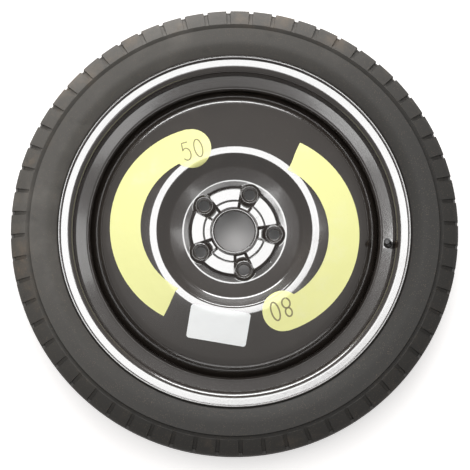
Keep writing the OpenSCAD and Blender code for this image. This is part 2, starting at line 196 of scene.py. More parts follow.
def rounded(corners, step=6.0):
    """Points of the path through corners (x, y, radius), with its inner corners rounded."""
    p = [np.array(c[:2], float) for c in corners]
    points = [p[0]]
    for before, here, after, corner in zip(p, p[1:], p[2:], corners[1:]):
        if corner[2] == 0:
            points.append(here)
            continue
        u, v = unit(before - here), unit(after - here)
        half = math.acos(max(-1.0, min(1.0, float(u @ v)))) / 2
        centre = here + unit(u + v) * corner[2] / math.sin(half)
        arm = here + u * corner[2] / math.tan(half) - centre
        turn = -(math.pi - 2 * half) * np.sign(u[0] * v[1] - u[1] * v[0])
        count = max(2, math.ceil(abs(math.degrees(turn)) / step))
        for i in range(count + 1):
            c, s = math.cos(turn * i / count), math.sin(turn * i / count)
            points.append(centre + [arm[0] * c - arm[1] * s, arm[0] * s + arm[1] * c])
    points.append(p[-1])
    return points


def shifted(path, d):
    """The path moved sideways by d, to its left when d is positive."""
    moved = []
    last = len(path) - 1
    for i, point in enumerate(path):
        a = unit(path[max(i, 1)] - path[max(i, 1) - 1])
        b = unit(path[min(i, last - 1) + 1] - path[min(i, last - 1)])
        n = unit(left_of(a) + left_of(b))
        moved.append(point + n * d / (n @ left_of(a)))
    return moved


def split_long(path, longest):
    """The path with extra points, so that no step is longer than the given length."""
    points = [path[0]]
    for a, b in zip(path, path[1:]):
        count = max(1, math.ceil(np.linalg.norm(b - a) / longest))
        points += [a + (b - a) * i / count for i in range(1, count + 1)]
    return points


class Build:
    """Gathers points and faces of one piece, in millimetres."""

    def __init__(self):
        self.blocks = []
        self.faces = []
        self.count = 0

    def add(self, points, faces):
        """Adds points, and faces that count from the first of them."""
        points = np.asarray(points, float).reshape(-1, 3)
        self.blocks.append(points)
        self.faces += [tuple(i + self.count for i in f) for f in faces]
        self.count += len(points)

    def rows(self, rows, closed_rows=False, closed_cols=True):
        """A sheet of quads over rows of points, each row running round the axis."""
        rows = np.asarray(rows, float)
        n, m = rows.shape[:2]
        faces = []
        for i in range(n if closed_rows else n - 1):
            above = (i + 1) % n
            for j in range(m if closed_cols else m - 1):
                beside = (j + 1) % m
                faces.append((i * m + j, i * m + beside, above * m + beside, above * m + j))
        self.add(rows, faces)

    def revolve(self, path, segments, closed=False, wobble=None):
        """A turned sheet over a path of radius and height."""
        a = np.arange(segments) * 2 * math.pi / segments
        path = np.asarray(path, float)
        r = np.repeat(path[:, :1], segments, 1)
        z = np.repeat(path[:, 1:2], segments, 1)
        if wobble:
            r, z = wobble(a[None, :], r, z)
        self.rows(np.stack([r * np.cos(a), r * np.sin(a), z], 2), closed)

    def mesh(self, name, place=None):
        """The finished mesh in metres, moved to its place, with equal points merged."""
        points = np.concatenate(self.blocks)
        if place is not None:
            m = np.array(place)
            points = points @ m[:3, :3].T + m[:3, 3]
        mesh = bpy.data.meshes.new(name)
        mesh.from_pydata((points / 1000).tolist(), [], self.faces)
        bm = bmesh.new()
        bm.from_mesh(mesh)
        bmesh.ops.remove_doubles(bm, verts=bm.verts, dist=2e-6)
        bmesh.ops.recalc_face_normals(bm, faces=bm.faces)
        bm.to_mesh(mesh)
        bm.free()
        return mesh


def place_piece(name, mesh, finish, body, nodes=(), sharp=32.0):
    """Links a finished mesh as a piece that rides on a body."""
    for old in [o for o in bpy.data.objects if o.name == name]:
        bpy.data.objects.remove(old)
    mesh.shade_smooth()
    mesh.set_sharp_from_angle(angle=math.radians(sharp))
    piece = bpy.data.objects.new(name, mesh)
    bpy.context.scene.collection.objects.link(piece)
    mesh.materials.append(finish)
    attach(piece, body)
    if nodes:
        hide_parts(*nodes)
    return piece


# Sections of the sheet parts

def half_rim(edge, grow, lean):
    """Tyre side of half of the rim, from its lip to the well floor."""
    top = edge + (SEAT_R - WELL_R) * tan_of(lean)
    return [
        (FLANGE_R + LIP_FLARE, RIM_HALF + FLANGE_W, 0),
        (FLANGE_R, RIM_HALF, CURL_R),
        (SEAT_R, RIM_HALF, BEAD_CORNER_R),
        (seat_at(top + 2 * HUMP_W), top + 2 * HUMP_W, HUMP_R),
        (seat_at(top + HUMP_W) + HUMP_H, top + HUMP_W, HUMP_R),
        (seat_at(top), top, 3.2),
        (WELL_R + grow, edge, 5.5),
    ]


def rim_section():
    """Closed section of the rim, with softened edges at its lips."""
    edge = WELL_EDGE - (VALVE_R - WELL_R) * (tan_of(SEEN_LEAN) - tan_of(WELL_LEAN))
    outer = half_rim(edge, 0, SEEN_LEAN)
    inner = [(r, -a, c)
             for r, a, c in reversed(half_rim(-INNER_WELL_EDGE, WELL_DRAFT, WELL_LEAN))]
    path = rounded(outer + inner, 9.0)
    back = shifted(path, -RIM_SHEET)
    soft = 0.9
    ends = []
    for a, b, side in ((path[-1], back[-1], -1), (back[0], path[0], 1)):
        mid, arm = (a + b) / 2, (b - a) / 2
        lip = []
        for k in range(1, 6):
            t = math.pi * k / 6
            across = abs(math.cos(t)) ** 0.55 * np.sign(math.cos(t))
            drop = soft * (1 - math.sin(t) ** 0.45)
            lip.append(mid - arm * across - np.array([0, side * drop]))
        ends.append(lip)
    for line in (path, back):
        line[0] = line[0] - [0, soft]
        line[-1] = line[-1] + [0, soft]
    loop = split_long(path, SPLIT) + ends[0] + split_long(back[::-1], SPLIT) + ends[1]
    return [p + [0, RIM_Z] for p in loop]


DISC_CORNERS = [
    (BORE_R, DISC_SHEET, 0),
    (HUB_R, DISC_SHEET, 4),
    (DISH_R, DISH_H, 14),
    (RIDGE_IN, RIDGE_H, 6),
    (RIDGE_OUT, RIDGE_H, 6),
    (SHOULDER_R, RIDGE_H - (SHOULDER_R - RIDGE_OUT) * tan_of(CONE_FALL), 24),
    (SKIRT_R, SKIRT_TOP, 8),
    (SKIRT_R, SKIRT_END, 0),
]
DISC_FRONT = rounded(DISC_CORNERS, 4.0)

# Front of the disc as height over radius, without the end of its skirt
FACE_R, FACE_Z = np.array(DISC_FRONT[:-8]).T


def front_z(r):
    """Height of the disc's front, outside its hub plate."""
    return np.interp(r, FACE_R, FACE_Z)


def smooth_max(a, b, k):
    """The larger of two heights, blended over k where they meet."""
    h = np.clip(0.5 + (a - b) / (2 * k), 0, 1)
    return b + (a - b) * h + k * h * (1 - h)


def smooth_min(a, b, k):
    """The smaller of two heights, blended over k where they meet."""
    return -smooth_max(-a, -b, k)


def bolt_space(x, y):
    """Radius, angle from the nearest bolt and distance from that bolt's axis."""
    r = np.hypot(x, y)
    turn = (np.degrees(np.arctan2(y, x)) + HALF_PITCH) % (2 * HALF_PITCH) - HALF_PITCH
    t = np.radians(turn)
    rho = np.hypot(r * np.cos(t) - BOLT_R, r * np.sin(t))
    return r, turn, rho


def hub_front(x, y):
    """Height of the front of the hub plate, with pads, collars, bosses and ball seats."""
    r, turn, rho = bolt_space(x, y)
    terrace_in, terrace_run, terrace_fall, step_in = 65.4, 6.6, 0.19, 62.4
    base = np.where(
        r > terrace_in,
        DISC_SHEET - terrace_fall * np.clip(PLATE_END - r, 0, terrace_run),
        DISC_SHEET - terrace_run * terrace_fall * np.clip((r - step_in) / 3, 0, 1))
    dip_from, dip_to, dip_fall = 11, 19, 0.2
    base = base - dip_fall * (np.clip(rho, dip_from, dip_to) - dip_from) * (r < terrace_in)
    pad_in, pad_out, slope = 34.15, 60.6, 4 / 2.13
    pad = smooth_min(PAD_TOP, PAD_TOP - (r - pad_out) * slope * 0.8, 0.7)
    pad = smooth_min(pad, PAD_TOP + (r - pad_in) * slope, 0.6)
    groove_r, groove_w, groove_deep = 43.1, 1.3, 1.5
    groove = np.clip(1 - np.abs(r - groove_r) / groove_w, 0, 1)
    pad = pad - groove_deep * groove * groove * (3 - 2 * groove)
    pad_half_span, end_lean = 24.5, 35
    end = r * np.sin(np.radians(HALF_PITCH - np.abs(turn) - pad_half_span)) / tan_of(end_lean)
    pad = smooth_min(pad, DISC_SHEET - end, 0.9)
    h = smooth_max(base, pad, 0.6)
    boss_foot, boss_slope, boss_top = 15.7, 3.8 / 3.7, PAD_TOP + 0.3
    h = smooth_max(h, smooth_min(boss_top, 3 + (boss_foot - rho) * boss_slope, 0.5), 0.7)
    lip_foot, lip_slope, lip_fall = 34.55, 5.7 / 1.6, 0.2
    lip = smooth_min(LIP_TOP - lip_fall * (r - BORE_R - LIP_R),
                     2.5 + (lip_foot - r) * lip_slope, 1.0)
    h = smooth_max(h, lip, 0.6)
    centre = boss_top + math.sqrt(SEAT_BALL_R ** 2 - SEAT_RIM_R ** 2)
    ball = centre - np.sqrt(np.maximum(SEAT_BALL_R ** 2 - rho ** 2, 1))
    return np.where(rho < 12.8, smooth_min(h, ball, 0.45), h)


def hub_back(x, y):
    """Height of the back of the hub plate, with the hollows behind the pads."""
    r, turn = bolt_space(x, y)[:2]
    hollow_half_span, end_lean = 20, 30
    end = r * np.sin(np.radians(HALF_PITCH - np.abs(turn) - hollow_half_span)) / tan_of(end_lean)
    deep, hollow_in, hollow_out = 2.5, 41.4, 59.2
    depth = smooth_min(smooth_min(deep, (r - hollow_in) * 2.6, 0.5), (hollow_out - r) * 1.7, 0.5)
    depth = smooth_min(depth, -end, 0.6)
    return smooth_max(0 * r, depth, 0.25)


def hub_sector(build, height, radii, step, rings):
    """One fifth of the hub plate five times over, with the bolt hole as a ring of its points."""
    turns = np.radians(np.linspace(-HALF_PITCH, HALF_PITCH, round(2 * HALF_PITCH / step) + 1))
    grid = [(r * math.cos(t), r * math.sin(t)) for r in radii for t in turns]
    clear = rings[-1] + (rings[-1] - rings[-2]) * 0.6
    grid = [p for p in grid if math.hypot(p[0] - BOLT_R, p[1]) > clear]
    for rho in rings:
        grid += [(BOLT_R + rho * math.cos(t), rho * math.sin(t))
                 for t in np.arange(HOLE_POINTS) * 2 * math.pi / HOLE_POINTS]
    start = len(grid) - HOLE_POINTS * len(rings)
    edges = [(start + i, start + (i + 1) % HOLE_POINTS) for i in range(HOLE_POINTS)]
    found = delaunay_2d_cdt([Vector(p) for p in grid], edges, [], 0, 1e-7)
    points = np.array([(p[0], p[1]) for p in found[0]])
    faces = []
    for f in found[2]:
        u, v = points[list(f)].mean(0)
        in_bore = math.hypot(u, v) <= radii[0] - 1e-3
        in_hole = math.hypot(u - BOLT_R, v) <= rings[0] * 0.999
        if not in_bore and not in_hole:
            faces.append(tuple(f))
    z = height(points[:, 0], points[:, 1])
    for i in range(BOLT_COUNT):
        c, s = polar(1, i * 2 * HALF_PITCH)
        turned = np.stack([points[:, 0] * c - points[:, 1] * s,
                           points[:, 0] * s + points[:, 1] * c, z], 1)
        build.add(turned, faces)


def bolt_walls(build):
    """Walls of the bolt holes, between the front and the back of the hub plate."""
    t = np.arange(HOLE_POINTS) * 2 * math.pi / HOLE_POINTS
    x0, y0 = BOLT_R + BOLT_HOLE_R * np.cos(t), BOLT_HOLE_R * np.sin(t)
    top = hub_front(x0, y0)
    for i in range(BOLT_COUNT):
        c, s = polar(1, i * 2 * HALF_PITCH)
        build.rows([np.stack([x0 * c - y0 * s, x0 * s + y0 * c, top * k], 1)
                    for k in (1, 0.5, 0)])


# Shader groups shared by the materials

def new_group(name, inputs, outputs):
    """An empty shader group with its sockets, and its two end nodes."""
    group = bpy.data.node_groups.new(name, "ShaderNodeTree")
    for label, value in inputs.items():
        socket = group.interface.new_socket(name=label, in_out="INPUT",
                                            socket_type="NodeSocketFloat")
        socket.default_value = value
    for label in outputs:
        group.interface.new_socket(name=label, in_out="OUTPUT", socket_type="NodeSocketFloat")
    return group, group.nodes.new("NodeGroupInput"), group.nodes.new("NodeGroupOutput")


def fill(tree, node, values):
    """Gives a node its input values or links, and hands the node back."""
    for key, value in values.items():
        if isinstance(value, bpy.types.NodeSocket):
            tree.links.new(value, node.inputs[key])
        else:
            node.inputs[key].default_value = value
    return node


def add_node(tree, kind, values=None, **settings):
    """A new node with its settings and its input values or links."""
    node = tree.nodes.new(kind)
    for key, value in settings.items():
        setattr(node, key, value)
    return fill(tree, node, values or {})


def add_math(tree, operation, *values):
    """Result of a Math node over values or links."""
    return add_node(tree, "ShaderNodeMath", dict(enumerate(values)),
                    operation=operation).outputs[0]


def times(tree, a, b):
    """Product of two values or links."""
    return add_math(tree, "MULTIPLY", a, b)


def object_point(tree):
    """The shaded point in the piece's own coordinates, in metres."""
    return tree.nodes.new("ShaderNodeTexCoord").outputs["Object"]


def noise(tree, scale, detail, **values):
    """Noise from 0 to 1 over the piece's own coordinates."""
    values = {"Vector": object_point(tree), "Scale": scale, "Detail": detail, **values}
    return add_node(tree, "ShaderNodeTexNoise", values).outputs["Fac"]


def ramp(tree, value, low, high):
    """The value spread from low to high onto 0 to 1, with soft ends."""
    return add_node(tree, "ShaderNodeMapRange",
                    {"Value": value, "From Min": low, "From Max": high},
                    interpolation_type="SMOOTHSTEP").outputs[0]


def patch_group():
    """Group that masks soft patches, such as dried mud or a dust film."""
    name = "soft_patches"
    if name in bpy.data.node_groups:
        return bpy.data.node_groups[name]
    group, start, end = new_group(name, {"Scale": 20.0, "Cover": 0.5, "Softness": 0.15}, ["Mask"])
    big = noise(group, start.outputs["Scale"], 6.0, Roughness=0.62)
    bare = add_math(group, "SUBTRACT", 1.0, start.outputs["Cover"])
    low = add_math(group, "MULTIPLY_ADD", bare, 0.5, 0.25)
    high = add_math(group, "ADD", low, start.outputs["Softness"])
    group.links.new(ramp(group, big, low, high), end.inputs["Mask"])
    return group


def speckle_group():
    """Group that masks small specks."""
    name = "fine_specks"
    if name in bpy.data.node_groups:
        return bpy.data.node_groups[name]
    group, start, end = new_group(name, {"Scale": 400.0, "Cover": 0.3}, ["Mask"])
    scale = start.outputs["Scale"]
    cells = add_node(group, "ShaderNodeTexVoronoi",
                     {"Vector": object_point(group), "Scale": scale}).outputs["Distance"]
    limit = times(group, start.outputs["Cover"], noise(group, times(group, scale, 0.21), 3.0))
    group.links.new(add_math(group, "LESS_THAN", cells, limit), end.inputs["Mask"])
    return group


def use_group(tree, group, values):
    """Mask that a shared group gives in this material."""
    return fill(tree, add_node(tree, "ShaderNodeGroup", node_tree=group), values).outputs["Mask"]


def patches(tree, scale, cover, softness):
    """Mask of soft patches in a material."""
    return use_group(tree, patch_group(), {"Scale": scale, "Cover": cover, "Softness": softness})


def specks(tree, scale, cover):
    """Mask of small specks in a material."""
    return use_group(tree, speckle_group(), {"Scale": scale, "Cover": cover})


def mix_colour(tree, factor, a, b):
    """The second colour over the first one, by the factor."""
    return add_node(tree, "ShaderNodeMix", {0: factor, 6: a, 7: b}, data_type="RGBA").outputs[2]


def full(colour):
    """The colour with full alpha."""
    return (*colour, 1.0)


def shade(colour, factor):
    """A darker or lighter tone of the colour, with full alpha."""
    return (colour[0] * factor, colour[1] * factor, colour[2] * factor, 1.0)


def new_finish(name):
    """A fresh material with its Principled shader."""
    old = bpy.data.materials.get(name)
    if old:
        bpy.data.materials.remove(old)
    finish = bpy.data.materials.new(name)
    finish.use_nodes = True
    return finish, finish.node_tree, finish.node_tree.nodes["Principled BSDF"]


def bump(tree, height, distance):
    """Normal of a surface raised by height times the distance in metres."""
    return add_node(tree, "ShaderNodeBump", {"Height": height, "Distance": distance,
                                             "Strength": 1.0}).outputs["Normal"]


# Finishes

def paint_finish(name, look, grain=0.0):
    """Gloss paint with a thin dust film, specks and a faint peel."""
    finish, tree, shader = new_finish(name)
    film = patches(tree, 14.0, look.dust_cover, 0.4)
    spots = specks(tree, 330.0, look.speck_cover)
    base = mix_colour(tree, noise(tree, 26.0, 4.0),
                      shade(look.colour, 0.75), shade(look.colour, 1.25))
    for cover in (times(tree, film, 0.35), times(tree, spots, 0.5)):
        base = mix_colour(tree, cover, base, full(look.dust_colour))
    rough = add_math(tree, "MULTIPLY_ADD", film, 0.12, look.roughness)
    rough = add_math(tree, "MULTIPLY_ADD", spots, 0.3, rough)
    peel = noise(tree, 210.0, 1.5)
    height = add_math(tree, "MULTIPLY_ADD", noise(tree, 38.0, 2.0), 3.2, peel)
    if grain:
        height = add_math(tree, "MULTIPLY_ADD", noise(tree, 700.0, 5.0), grain, height)
    normal = bump(tree, height, look.peel_height)
    fill(tree, shader, {"Base Color": base, "Roughness": rough, "IOR": 1.8, "Coat Weight": 1.0,
                        "Coat IOR": 1.7, "Coat Roughness": 0.09, "Normal": normal,
                        "Coat Normal": normal})
    return finish


def rubber_finish(name, look):
    """Moulded rubber with dust and dried mud, thickest at the upper left as the camera sees it,
    where the lighter tone is partly painted light on the better-lit side.
    """
    finish, tree, shader = new_finish(name)
    film = patches(tree, 9.0, 0.55, 0.5)
    fine = patches(tree, 55.0, 0.5, 0.35)
    mud = patches(tree, 17.0, look.mud_cover, 0.2)
    x, y = add_node(tree, "ShaderNodeSeparateXYZ", {0: object_point(tree)}).outputs[:2]
    radius = add_math(tree, "SQRT", add_math(tree, "ADD", times(tree, x, x), times(tree, y, y)))
    mud_from, mud_to = 0.276, 0.302
    outward = ramp(tree, radius, mud_from, mud_to)
    # Mask towards the upper left: it places dust and mud there, and it also stands in part for
    # painted light on the side the light falls on more.
    towards = add_math(tree, "MULTIPLY_ADD", x, -2.4, times(tree, y, 2.1))
    upper_left_dirt_and_painted_light = ramp(tree, towards, -0.55, 0.95)
    # Lighter dust film at the upper left, partly dust and partly painted light.
    dust_and_painted_light = times(tree, add_math(tree, "ADD", film, 0.45), upper_left_dirt_and_painted_light)
    base = mix_colour(tree, dust_and_painted_light, shade(look.rubber, 0.85), full(look.dust))
    base = mix_colour(tree, times(tree, fine, 0.4), base, shade(look.rubber, 0.8))
    uneven = times(tree, add_math(tree, "ADD", fine, 0.4),
                   add_math(tree, "MULTIPLY_ADD", upper_left_dirt_and_painted_light, 0.6, 0.3))
    caked = times(tree, times(tree, mud, outward), uneven)
    for cover in (caked, times(tree, specks(tree, 420.0, 0.4), 0.25)):
        base = mix_colour(tree, cover, base, full(look.mud))
    height = add_math(tree, "MULTIPLY_ADD", caked, 2.5, noise(tree, 900.0, 4.0))
    fill(tree, shader, {"Base Color": base,
                        "Roughness": add_math(tree, "MULTIPLY_ADD", film, 0.15, 0.62),
                        "Normal": bump(tree, height, 0.00025)})
    return finish


def plain_rubber(name, colour, roughness, grain_scale=1500.0, depth=0.0001):
    """Small rubber, plastic or ink part with a moulded grain and dust in soft patches."""
    finish, tree, shader = new_finish(name)
    film = patches(tree, 160.0, 0.4, 0.4)
    dust = (0.09, 0.075, 0.06, 1.0)
    fill(tree, shader, {
        "Base Color": mix_colour(tree, times(tree, film, 0.4), full(colour), dust),
        "Roughness": add_math(tree, "MULTIPLY_ADD", film, 0.2, roughness),
        "Normal": bump(tree, noise(tree, grain_scale, 3.0), depth)})
    return finish


def metal_finish(name, colour, tarnish, roughness):
    """Turned metal with fine lines and spots of tarnish."""
    finish, tree, shader = new_finish(name)
    spots = patches(tree, 240.0, 0.35, 0.3)
    fill(tree, shader, {
        "Base Color": mix_colour(tree, spots, full(colour), full(tarnish)), "Metallic": 1.0,
        "Roughness": add_math(tree, "MULTIPLY_ADD", spots, 0.25, roughness),
        "Normal": bump(tree, noise(tree, 2500.0, 2.0), 0.00003)})
    return finish


def label_finish(name, colour, second, roughness, coat):
    """Printed film or paper with slight waves, faded patches and specks of dirt."""
    finish, tree, shader = new_finish(name)
    fade = patches(tree, 22.0, 0.5, 0.5)
    dirt = (0.3, 0.25, 0.16, 1.0)
    base = mix_colour(tree, fade, full(colour), full(second))
    base = mix_colour(tree, times(tree, specks(tree, 260.0, 0.12), 0.35), base, dirt)
    fibre = times(tree, noise(tree, 1800.0, 3.0), 0.15)
    height = add_math(tree, "MULTIPLY_ADD", noise(tree, 45.0, 2.0), 4.0, fibre)
    fill(tree, shader, {"Base Color": base, "Coat Weight": coat, "Coat Roughness": 0.16,
                        "Roughness": add_math(tree, "MULTIPLY_ADD", fade, 0.12, roughness),
                        "Normal": bump(tree, height, 0.00012)})
    return finish


def floor_finish(colour):
    """Plain pale floor that is near white to the camera away from the wheel."""
    finish, tree, shader = new_finish("floor_pale")
    base = mix_colour(tree, noise(tree, 3.0, 2.0), full(colour), shade(colour, 0.98))
    far = add_node(tree, "ShaderNodeVectorMath", {0: object_point(tree)}, operation="LENGTH")
    outside = ramp(tree, far.outputs["Value"], 0.27, 0.31)
    level = add_math(tree, "MULTIPLY_ADD", outside, 0.45, 0.05)
    seen = tree.nodes.new("ShaderNodeLightPath").outputs["Is Camera Ray"]
    fill(tree, shader, {"Base Color": base, "Roughness": 0.9, "Specular IOR Level": 0.1,
                        "Emission Color": (1, 1, 1, 1),
                        "Emission Strength": times(tree, seen, level)})
    return finish


# Settings

def colour_setting(label, words, value):
    """A colour that a user may change."""
    return bpy.props.FloatVectorProperty(name=label, description=words, default=value,
                                         subtype="COLOR", size=3, min=0, max=1)


def length_setting(label, words, value, low, high):
    """A length in metres that a user may change."""
    return bpy.props.FloatProperty(name=label, description=words, default=value,
                                   min=low, max=high, precision=5, unit="LENGTH")


def share_setting(label, words, value):
    """A share from 0 to 1 that a user may change."""
    return bpy.props.FloatProperty(name=label, description=words, default=value,
                                   min=0, max=1, subtype="FACTOR")


class TyreLook(bpy.types.PropertyGroup):
    """Tread details and colours of the tyre"""
    groove_depth: length_setting("Groove depth", "Depth of the three round grooves",
                                 0.0045, 0.001, 0.007)
    cut_depth: length_setting("Cut depth", "Depth of the slanted cuts in the middle ribs",
                              0.003, 0.0005, 0.005)
    slot_depth: length_setting("Slot depth", "Depth of the slots over the shoulders",
                               0.0042, 0.001, 0.006)
    ring_height: length_setting("Ring height", "Height of the thin rings on the sidewalls",
                                0.0005, 0, 0.0012)
    rubber: colour_setting("Rubber", "Colour of the rubber", (0.033, 0.031, 0.028))
    # The dust colour also gives the lighter upper-left tone of the tyre, which is partly painted
    # light.
    dust: colour_setting("Dust", "Colour of the dust film", (0.150, 0.140, 0.126))
    mud: colour_setting("Dried mud", "Colour of the mud patches", (0.23, 0.17, 0.115))
    mud_cover: share_setting("Mud cover", "Share of the shoulder that mud covers", 0.5)


class PaintLook(bpy.types.PropertyGroup):
    """Paint of the rim and the disc"""
    colour: colour_setting("Paint", "Colour of the paint", (0.027, 0.021, 0.017))
    dust_colour: colour_setting("Dust", "Colour of the dust on the paint", (0.14, 0.12, 0.10))
    dust_cover: share_setting("Dust cover", "Share of the paint under a dust film", 0.45)
    speck_cover: share_setting("Specks", "Density of small specks", 0.10)
    roughness: share_setting("Roughness", "Roughness under the clear gloss", 0.22)
    peel_height: length_setting("Peel", "Height of the waves in the gloss", 0.00002, 0, 0.0002)


class ValveLook(bpy.types.PropertyGroup):
    """Details and colours of the valve"""
    rib_count: bpy.props.IntProperty(name="Grip ribs", description="Ribs round the cap",
                                     default=16, min=8, max=24)
    rib_height: length_setting("Rib height", "Height of the grip ribs", 0.00035, 0, 0.0006)
    thread_pitch: length_setting("Thread pitch", "Pitch of the stem thread",
                                 0.000794, 0.0005, 0.001)
    thread_depth: length_setting("Thread depth", "Depth of the stem thread", 0.00036, 0, 0.0005)
    rubber: colour_setting("Rubber", "Colour of the valve rubber", (0.018, 0.017, 0.016))
    brass: colour_setting("Brass", "Colour of the stem", (0.66, 0.50, 0.25))


class LabelLook(bpy.types.PropertyGroup):
    """Colours and numbers of the labels"""
    film: colour_setting("Yellow film", "Colour of the crescents", (0.93, 0.93, 0.40))
    faded: colour_setting("Faded film", "Colour of the faded patches", (0.97, 0.97, 0.62))
    paper: colour_setting("Paper", "Colour of the paper label", (0.95, 0.97, 0.97))
    ink: colour_setting("Ink", "Colour of the printed numbers", (0.28, 0.25, 0.13))
    number_height: length_setting("Number height", "Height of the printed numbers",
                                  0.0265, 0.01, 0.04)
    stroke: length_setting("Stroke", "Width of the number strokes", 0.0017, 0.0005, 0.006)
    bold: bpy.props.FloatProperty(name="Bold", description="Stroke width of the second number "
                                  "against the first", default=1.3, min=0.5, max=3)
    first: bpy.props.IntProperty(name="First number", description="Number on the left crescent",
                                 default=50, min=10, max=99)
    second: bpy.props.IntProperty(name="Second number",
                                  description="Number on the right crescent",
                                  default=80, min=10, max=99)


class StageLook(bpy.types.PropertyGroup):
    """Camera, floor and light"""
    lens: bpy.props.FloatProperty(name="Lens", description="Focal length in millimetres",
                                  default=116.6, min=20, max=300)
    distance: length_setting("Distance", "Camera to the wheel", 2.15, 0.5, 10)
    azimuth: bpy.props.FloatProperty(name="Azimuth", description="Camera turn round the axis",
                                     default=math.radians(4.4), subtype="ANGLE", unit="ROTATION")
    elevation: bpy.props.FloatProperty(name="Elevation", description="Camera over the horizon",
                                       default=math.radians(84), subtype="ANGLE", unit="ROTATION")
    floor: colour_setting("Floor", "Colour of the floor", (0.86, 0.84, 0.83))
    key: bpy.props.FloatProperty(name="Key light", description="Brightness of the soft box",
                                 default=7, min=0)
    world: bpy.props.FloatProperty(name="Room light", description="Brightness of the room",
                                   default=0.32, min=0)


class PieceOperator(bpy.types.Operator):
    """Builds a piece of the wheel"""
    bl_options = {"REGISTER", "UNDO"}


class WHEEL_OT_rim(PieceOperator):
    """Builds the rolled rim with its flanges, humps, well and valve hole"""
    bl_idname = "wheel.rim"
    bl_label = "Rim"

    def execute(self, context):
        build = Build()
        build.revolve(rim_section(), 400, closed=True)
        paint = paint_finish("black_paint", context.scene.wheel_paint)
        piece = place_piece("rim_steel", build.mesh("rim_steel"), paint, "wheel",
                            ["rim"])
        cut_valve_hole(piece)
        return {"FINISHED"}


def valve_place():
    """Where the valve stands: its hole in the rim, with Z along the valve."""
    return Matrix.Translation((VALVE_R, 0, VALVE_WALL_Z)) @ Matrix.Rotation(
        math.radians(-WELL_LEAN), 4, "Y")


def cut_valve_hole(piece):
    """Cuts the round valve hole through the rim and leaves no modifier behind."""
    tool = Build()
    hole_r, low, high = 5.75, -8, 4
    tool.revolve([(0.001, low), (hole_r, low), (hole_r, high), (0.001, high)], 48)
    mesh = tool.mesh("hole_tool", valve_place())
    cutter = bpy.data.objects.new("hole_tool", mesh)
    bpy.context.scene.collection.objects.link(cutter)
    cut = piece.modifiers.new("valve_hole", "BOOLEAN")
    cut.object = cutter
    cut.solver = "EXACT"
    bpy.context.view_layer.update()
    graph = bpy.context.evaluated_depsgraph_get()
    done = bpy.data.meshes.new_from_object(piece.evaluated_get(graph))
    piece.modifiers.remove(cut)
    if len(done.vertices) < 1000:
        raise RuntimeError("the valve hole could not be cut")
    piece.data = done
    bpy.data.objects.remove(cutter)
    done.shade_smooth()
    done.set_sharp_from_angle(angle=math.radians(32))


class WHEEL_OT_disc(PieceOperator):
    """Builds the pressed disc with pads, ball seats, bore lip, dish, ridge and shoulder"""
    bl_idname = "wheel.disc"
    bl_label = "Disc"

    def execute(self, context):
        build = Build()
        step = 0.8
        ring_step = 0.7
        start, end = BORE_R + LIP_R, PLATE_END
        radii = list(np.linspace(start, end, round((end - start) / ring_step) + 1))
        # Radii of the points round a bolt hole, close together on the ball seat's rim
        rings = [BOLT_HOLE_R, 8.2, 9, 9.8, 10.4, 10.8, 11.1, 11.4, 11.7, 12.1, 12.6]
        hub_sector(build, hub_front, radii, step, rings)
        back_in = BORE_R + 0.8
        back_radii = list(np.linspace(back_in, end, 12))
        hub_sector(build, hub_back, back_radii, step, [BOLT_HOLE_R, 9.4, 11.6])
        bolt_walls(build)
        segments = round(360 / step)
        lip = [np.array([start, LIP_TOP])]
        lip += [polar(LIP_R, 90 + 90 * k / 8) + [start, LIP_TOP - LIP_R] for k in range(1, 9)]
        lip += [np.array([BORE_R, 4.0]), np.array([BORE_R, 0.8]), np.array([back_in, 0.0])]
        build.revolve(lip, segments)
        front = [np.array([end, DISC_SHEET])] + [p for p in DISC_FRONT if p[0] > end]
        back = [p for p in shifted(DISC_FRONT, -DISC_SHEET) if p[0] > end]
        back = [np.array([end, 0.0])] + back
        edge = [front[-1] + [-DISC_SHEET / 2, -0.4]]
        build.revolve(split_long(front, SPLIT) + edge + split_long(back, SPLIT)[::-1], segments)
        paint = paint_finish("disc_paint", context.scene.wheel_paint)
        place_piece("disc_steel", build.mesh("disc_steel"), paint, "wheel",
                    ["wheel_disc"], sharp=50)
        return {"FINISHED"}


class WHEEL_OT_welds(PieceOperator):
    """Builds the rippled weld runs between the disc skirt and the rim"""
    bl_idname = "wheel.welds"
    bl_label = "Weld runs"

    def execute(self, context):
        build = Build()
        welds = 8
        run = 360 / welds * 0.62
        count = 90
        leg = 3.6
        foot = SKIRT_R + TOUCH_GAP
        top = SKIRT_END - TOUCH_GAP
        for i in range(welds):
            rows = []
            for k in range(count + 1):
                share = k / count
                side = polar(1, (i + 0.5) * 360 / welds - run / 2 + run * share)
                taper = min(1, math.sqrt(min(share, 1 - share) * 14) + 0.15)
                grow = taper * (1 + 0.09 * abs(math.sin(share * 34 * math.pi)))
                rows.append([(*side * (foot + r * grow), top + z * grow) for r, z in (
                    (0, 0), (-leg + 0.3, 0), (-leg * 0.86, -leg * 0.30),
                    (-leg * 0.62, -leg * 0.60), (-leg * 0.3, -leg * 0.85), (0, -leg))])
            build.rows(rows)
        paint = paint_finish("weld_paint", context.scene.wheel_paint, grain=2.0)
        place_piece("weld_runs", build.mesh("weld_runs"), paint, "wheel",
                    ["weld_beads"], sharp=60)
        return {"FINISHED"}


